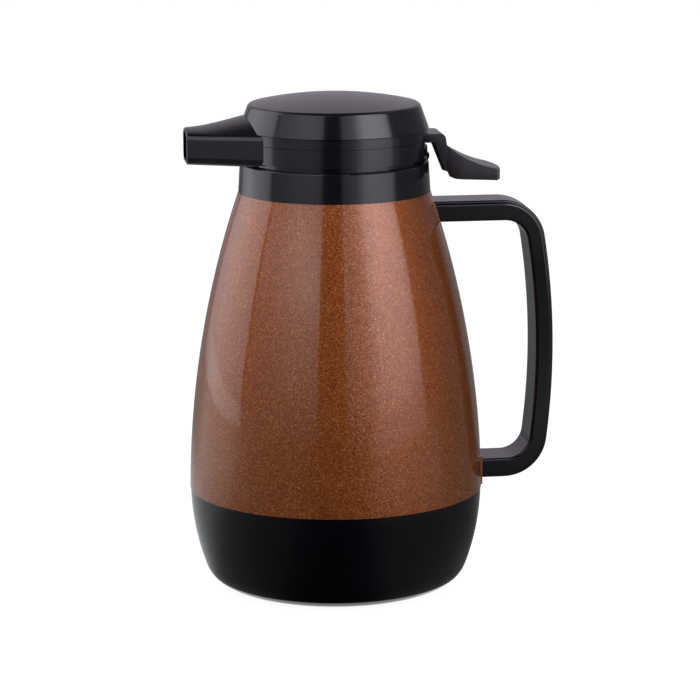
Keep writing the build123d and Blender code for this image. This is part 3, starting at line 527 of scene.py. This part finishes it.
# ---- Handle screws ----
# Four pan-head screws of cold-headed steel with a cross recess and a rolled thread. They are driven from inside
# the shell into the ends of the handle.
def screw(bm, place, head_radius, head_depth, shank_radius, shank_length, pitch):
    """Screw along +X with the underside of its head at the origin, then put in its place."""
    segments = 40
    half_slot, half_length = head_radius * 0.13, head_radius * 0.55
    recess_depth, recess_draft = head_depth * 0.55, 0.8
    root_radius, tip_radius = shank_radius - pitch * 0.3, shank_radius * 0.4
    before = set(bm.verts)
    head = bmesh.ops.create_cone(bm, cap_ends=True, segments=segments, radius1=head_radius, radius2=head_radius,
                                 depth=head_depth, matrix=Matrix.Translation((0, 0, -head_depth / 2)))["verts"]
    head_edges = {edge for vert in head for edge in vert.link_edges}
    top_rim = [edge for edge in head_edges if all(vert.co.z < -head_depth / 2 for vert in edge.verts)]
    bmesh.ops.bevel(bm, geom=top_rim, offset=head_depth / 3, offset_type="OFFSET", segments=4, profile=0.5,
                    affect="EDGES", material=-1)
    for axis in (Vector((1, 0, 0)), Vector((0, 1, 0))):
        for distance in (-half_length, -half_slot, half_slot, half_length):
            verts = {vert for vert in bm.verts if vert not in before}
            edges = {edge for vert in verts for edge in vert.link_edges}
            faces = {face for vert in verts for face in vert.link_faces}
            bmesh.ops.bisect_plane(bm, geom=[*verts, *edges, *faces], dist=1e-7, plane_co=axis * distance,
                                   plane_no=axis)
    cross = []
    for face in {face for vert in bm.verts if vert not in before for face in vert.link_faces}:
        x, y, z = face.calc_center_median()
        if min(abs(x), abs(y)) < half_slot and max(abs(x), abs(y)) < half_length and z < -head_depth * 0.99:
            cross.append(face)
    sunk = bmesh.ops.extrude_face_region(bm, geom=cross)["geom"]
    sunk_verts = [item for item in sunk if isinstance(item, bmesh.types.BMVert)]
    bmesh.ops.translate(bm, verts=sunk_verts, vec=(0, 0, recess_depth))
    bmesh.ops.scale(bm, verts=sunk_verts, vec=(recess_draft, recess_draft, 1.0))
    bmesh.ops.delete(bm, geom=cross, context="FACES")
    outline = [(0, -head_depth / 4), (root_radius, -head_depth / 4)]
    for turn in range(int(shank_length / pitch)):
        outline += [(root_radius, (turn + 0.2) * pitch), (shank_radius, (turn + 0.5) * pitch),
                    (root_radius, (turn + 0.8) * pitch)]
    outline += [(tip_radius, shank_length), (0, shank_length)]
    spin_round(bm, [(r, 0, z) for r, z in outline], segments)
    made = [vert for vert in bm.verts if vert not in before]
    bmesh.ops.transform(bm, matrix=place @ Matrix.Rotation(math.pi / 2, 4, "Y"), verts=made)


def finish_mesh(bm):
    """Doubles merged and faces turned outwards."""
    bmesh.ops.remove_doubles(bm, verts=bm.verts, dist=1e-7)
    bmesh.ops.recalc_face_normals(bm, faces=bm.faces)


def smooth(obj, angle=30):
    """Rounded shading, with edges sharper than the angle kept crisp."""
    obj.data.shade_smooth()
    obj.data.set_sharp_from_angle(angle=math.radians(angle))


def stands_for(obj, body, slot, *nodes):
    """A finished piece that rides on a body in place of CAD nodes."""
    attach(obj, body)
    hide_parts(*nodes)


steel, tree, shader = principled("turned_steel", Metallic=1.0, Anisotropic=0.4)
marks = noise(tree, object_place(tree, (1.0, 1.0, 0.2)), scale=3000.0, detail=3.0, roughness=0.7)
steel_colour = tones(tree, marks, (0, (0.42, 0.42, 0.43)), (1, (0.66, 0.66, 0.67)))
join(tree, (steel_colour, shader.inputs["Base Color"]),
     (band(tree, marks, 0.3, 0.7, start=0.22, end=0.36), shader.inputs["Roughness"]))
bump(tree, shader, marks, distance=0.00001)
upper_screws, lower_screws = (0.040876, 0.17155), (0.06365, 0.0537)
screw_aside = 0.0055
bm = bmesh.new()
for x, z in (upper_screws, lower_screws):
    for y in (-screw_aside, screw_aside):
        screw(bm, Matrix.Translation((x, y, z)), head_radius=0.0033, head_depth=0.0024, shank_radius=0.0019,
              shank_length=0.009, pitch=0.0009)
finish_mesh(bm)
handle_screws = new_object("handle_screws_visual", bm, steel)
smooth(handle_screws)
stands_for(handle_screws, "root", "steel", "handle_screws")

# ---- Collar and lid ----
# The ring round the neck, and the lid's domed cap and lower body, which meet in a fine parting line. They are
# moulded in the same black with a softer sheen.
satin_black = moulding(
    "satin_black_plastic",
    {"Colour": (0.0040, 0.0042, 0.0060, 1), "Dust Colour": (0.25, 0.25, 0.27, 1), "Roughness": 0.125,
     "Unevenness": 0.05, "Grain": 0.05, "Ripple": 0.12, "Dust": 0.015},
    bump_distance=0.00002)
dress(satin_black, "collar", "lid_cap", "lid_body")

# ---- Lever pin ----
# Plain steel axle, turned from bar, that the lever swings on. It is pressed into the lid's two ears.
# It has fine tool marks.
dress(steel, "lever_pin")

# ---- Lid screws ----
# Four smaller screws of the handle's kind, in posts inside the lid. They are driven up from below and clamp the
# lid's two halves together.
post_circle, post_foot = 0.031, 0.1982
bm = bmesh.new()
for angle in (55, 125, 235, 305):
    spot = Matrix.Rotation(math.radians(angle), 4, "Z") @ Matrix.Translation((post_circle, 0, post_foot))
    screw(bm, spot @ Matrix.Rotation(-math.pi / 2, 4, "Y"), head_radius=0.0027, head_depth=0.0018,
          shank_radius=0.0014, shank_length=0.009, pitch=0.0007)
finish_mesh(bm)
lid_screws = new_object("lid_screws_visual", bm, steel)
smooth(lid_screws)
stands_for(lid_screws, "lid", "steel", "lid_screws")

# ---- Plug seal ----
# Silicone ring moulded in one piece and stretched into the groove between the plug's two flanges. Its three
# soft ribs press against the flask's neck and hold the lid in.
seal_bore, seal_reach, seal_foot, seal_depth = 0.0187, 0.0217, 0.180, 0.004
rib_count, valley_depth, shoulder_drop = 3, 0.0008, 0.0003
rib = seal_depth / rib_count
valley, rib_side = seal_reach - valley_depth, seal_reach - shoulder_drop
outline = [(seal_bore, seal_foot), (valley, seal_foot)]
for n in range(rib_count):
    low = seal_foot + n * rib
    outline += [(rib_side, low + rib * 0.2), (seal_reach, low + rib * 0.5), (rib_side, low + rib * 0.8),
                (valley, low + rib)]
outline.append((seal_bore, seal_foot + seal_depth))
bm = bmesh.new()
spin_round(bm, [(r, 0, z) for r, z in outline], 120, closed=True)
finish_mesh(bm)
plug_seal = new_object("plug_seal_visual", bm, silicone)
smooth(plug_seal, 50)
stands_for(plug_seal, "lid", "seal_silicone", "plug_seal")

# ---- Spout ----
# Hollow horn with a rounded lip, moulded in one piece with the duct that runs into the lid. Its black is the
# lid's; the lid's two halves close round it.
dress(satin_black, "spout")

# ---- Duct and stem seals ----
# Two mouldings in grey silicone: the flat frame squeezed between the duct and the valve chamber, and the wiper
# ring round the stem, pressed into the chamber's cover.
dress(silicone, "duct_seal", "stem_seal")

# ---- Valve chamber and valve ----
# Natural white food-grade mouldings inside the lid: the chamber's cover, the stem with its poppet, the collar
# under the poppet's seal and the head that the lever lifts; the poppet's flat seal is silicone.
natural_white = moulding(
    "natural_white_plastic",
    {"Colour": (0.58, 0.58, 0.56, 1), "Dust Colour": (0.42, 0.40, 0.36, 1), "Roughness": 0.38, "Unevenness": 0.08,
     "Grain": 0.3, "Ripple": 0.4, "Dust": 0.08},
    bump_distance=0.00003, Subsurface_Weight=0.15, Subsurface_Radius=(0.001, 0.001, 0.001))
dress(natural_white, "chamber_cover", "valve_stem", "seal_retainer", "stem_head")
dress(silicone, "valve_seal")

# ---- Valve spring ----
# Compression spring coiled from drawn stainless wire, held between the poppet and the chamber's cover. It gets
# shorter towards the cover as the valve lifts.
wire_radius, coil_radius, coil_turns = 0.00045, 0.0062, 6
spring_foot, spring_head = 0.1834, 0.2046
steps = coil_turns * 40
bm = bmesh.new()
wire_end = bmesh.ops.create_circle(
    bm, cap_ends=False, segments=14, radius=wire_radius,
    matrix=Matrix.Translation((coil_radius, 0, spring_foot + wire_radius)) @ Matrix.Rotation(math.pi / 2, 4, "X"))
rise = spring_head - spring_foot - 2 * wire_radius
bmesh.ops.spin(bm, geom=wire_end["verts"] + bm.edges[:], axis=(0, 0, 1), cent=(0, 0, 0), dvec=(0, 0, rise / steps),
               angle=math.tau * coil_turns, steps=steps)
bmesh.ops.holes_fill(bm, edges=[edge for edge in bm.edges if edge.is_boundary])
finish_mesh(bm)
valve_spring = new_object("valve_spring_visual", bm, steel)
smooth(valve_spring, 50)
stands_for(valve_spring, "lid", "steel", "valve_spring")
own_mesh(valve_spring)

# ---- Lever ----
# Thumb lever, moulded in black with a fine grain: a knuckle that leaves the lid and a dished paddle, one thin
# skin open below with softly rounded edges. Its hinge barrel turns on the steel pin, and two prongs lift the
# head of the valve's stem.
pin_x, pin_z = 0.0345, 0.2063
knuckle_top, knuckle_low = pin_z + 0.0023, pin_z - 0.0017
throat_x = 0.045
shoulder = Vector((0.0494, knuckle_top))
elbow, sag, end = Vector((0.0503, 0.2027)), Vector((0.0605, 0.19655)), Vector((0.076, 0.1921))
heel, belly, toe = (0.0512, 0.1891), (0.0540, 0.18805), (0.076, 0.18705)
skin = 0.0019
end_bow, bow_start = 0.00325, 0.058
narrow, wide, flare_x = 0.010, 0.013, 0.056


def paddle_top(x):
    """Height of the dished top, through elbow, sag and end."""
    points = (elbow, sag, end)
    total = 0.0
    for point in points:
        share = point.y
        for other in points:
            if other is not point:
                share *= (x - other.x) / (point.x - other.x)
        total += share
    return total


def soft_corner(before, corner, after, reach, count):
    """Points of a rounded corner that starts and ends at the given reach from it."""
    first = corner + (before - corner).normalized() * reach
    last = corner + (after - corner).normalized() * reach
    return [first.lerp(corner, n / count).lerp(corner.lerp(last, n / count), n / count) for n in range(count + 1)]


def steps_between(value, points):
    """Straight interpolation through (x, value) points."""
    for (x0, v0), (x1, v1) in zip(points, points[1:]):
        if value <= x1:
            break
    return v0 + (v1 - v0) * min(max((value - x0) / (x1 - x0), 0), 1)


dish_start, dish_step, dish_points = 0.0525, 0.0015, 15
dish = [Vector((x, paddle_top(x))) for x in [dish_start + dish_step * n for n in range(dish_points)]]
# a point on the dish that only gives the direction in which its line leaves the elbow
past_elbow = Vector((0.053, paddle_top(0.053)))
side_line = [Vector((pin_x, knuckle_top)), Vector((throat_x, knuckle_top))]
side_line += soft_corner(side_line[-1], shoulder, elbow, reach=0.0025, count=6)
side_line += soft_corner(shoulder, elbow, past_elbow, reach=0.0012, count=4)
side_line += dish
side_line += soft_corner(dish[-1], end, Vector((end.x, toe[1])), reach=0.0013, count=5)
lever_black = moulding(
    "lever_black_plastic",
    {"Colour": (0.032, 0.030, 0.035, 1), "Dust Colour": (0.25, 0.25, 0.27, 1), "Roughness": 0.24,
     "Unevenness": 0.05, "Grain": 0.35, "Ripple": 0.1, "Dust": 0.015},
    bump_distance=0.00002, IOR=1.5)
rows, columns = len(side_line) - 1, 12
bm = bmesh.new()
bmesh.ops.create_grid(bm, x_segments=rows, y_segments=columns, size=1.0)
for vert in bm.verts:
    x, z = side_line[round((vert.co.x + 1) / 2 * rows)]
    across = vert.co.y
    bow = end_bow * across ** 2 * max((x - bow_start) / (end.x - bow_start), 0)
    fall = paddle_top(x) - paddle_top(x - bow) if x > elbow.x else 0.0
    half_width = steps_between(x, ((elbow.x, narrow), (flare_x, wide)))
    vert.co = (x - bow, across * half_width, z - fall)
lower_line = ((pin_x, knuckle_low), (throat_x, knuckle_low), heel, belly, toe)
rim = [edge for edge in bm.edges if edge.is_boundary and max(v.co.x for v in edge.verts) > pin_x + 1e-5]
lower = [v for v in bmesh.ops.extrude_edge_only(bm, edges=rim)["geom"] if isinstance(v, bmesh.types.BMVert)]
for vert in lower:
    vert.co.z = steps_between(vert.co.x, lower_line)
finish_mesh(bm)
paddle = new_object("lever_paddle_visual", bm, lever_black)
smooth(paddle, 40)
rounding = paddle.modifiers.new("soft_edges", "BEVEL")
rounding.width = 0.0006
rounding.segments = 2
rounding.limit_method = "ANGLE"
rounding.angle_limit = math.radians(40)
wall = paddle.modifiers.new("skin", "SOLIDIFY")
wall.thickness = skin
wall.offset = -1
wall.use_even_offset = True
closing = paddle.modifiers.new("closed_corners", "WELD")
closing.merge_threshold = 0.00001
stands_for(paddle, "lever", "satin_black", "lever")

barrel_radius, barrel_bore, barrel_reach, chamfer = 0.0028, 0.0013, 0.0162, 0.0003
prong_gap, prong_width, prong_low, prong_depth, nub_radius = 0.0052, 0.0032, pin_z + 0.0009, 0.0026, 0.0015
half_outline = [(barrel_bore, barrel_reach), (barrel_radius - chamfer, barrel_reach),
                (barrel_radius, barrel_reach - chamfer)]
outline = [(r, -y) for r, y in half_outline] + half_outline[::-1]
bm = bmesh.new()
spin_round(bm, [(pin_x + r, y, pin_z) for r, y in outline], 48, closed=True, axis=(0, 1, 0), centre=(pin_x, 0, pin_z))


def slab(bm, low, high):
    """Block between two corners with softened edges."""
    size = Vector(high) - Vector(low)
    middle = (Vector(high) + Vector(low)) / 2
    made = bmesh.ops.create_cube(bm, matrix=Matrix.Translation(middle) @ Matrix.Diagonal((*size, 1)))["verts"]
    edges = list({edge for vert in made for edge in vert.link_edges})
    bmesh.ops.bevel(bm, geom=edges, offset=chamfer, offset_type="OFFSET", segments=2, profile=0.5, affect="EDGES",
                    material=-1)


slab(bm, (pin_x + barrel_radius * 0.7, skin - narrow, knuckle_low),
     (throat_x, narrow - skin, knuckle_top - skin * 0.8))
for side in (-1, 1):
    near, far = side * prong_gap, side * (prong_gap + prong_width)
    slab(bm, (0, min(near, far), prong_low), (pin_x - barrel_bore * 1.3, max(near, far), prong_low + prong_depth))
    bmesh.ops.create_cone(
        bm, cap_ends=True, segments=32, radius1=nub_radius, radius2=nub_radius, depth=prong_width,
        matrix=Matrix.Translation((0, (near + far) / 2, prong_low + nub_radius)) @ Matrix.Rotation(math.pi / 2, 4, "X"))
finish_mesh(bm)
hinge = new_object("lever_hinge_visual", bm, lever_black)
smooth(hinge)
stands_for(hinge, "lever", "satin_black", "lever")
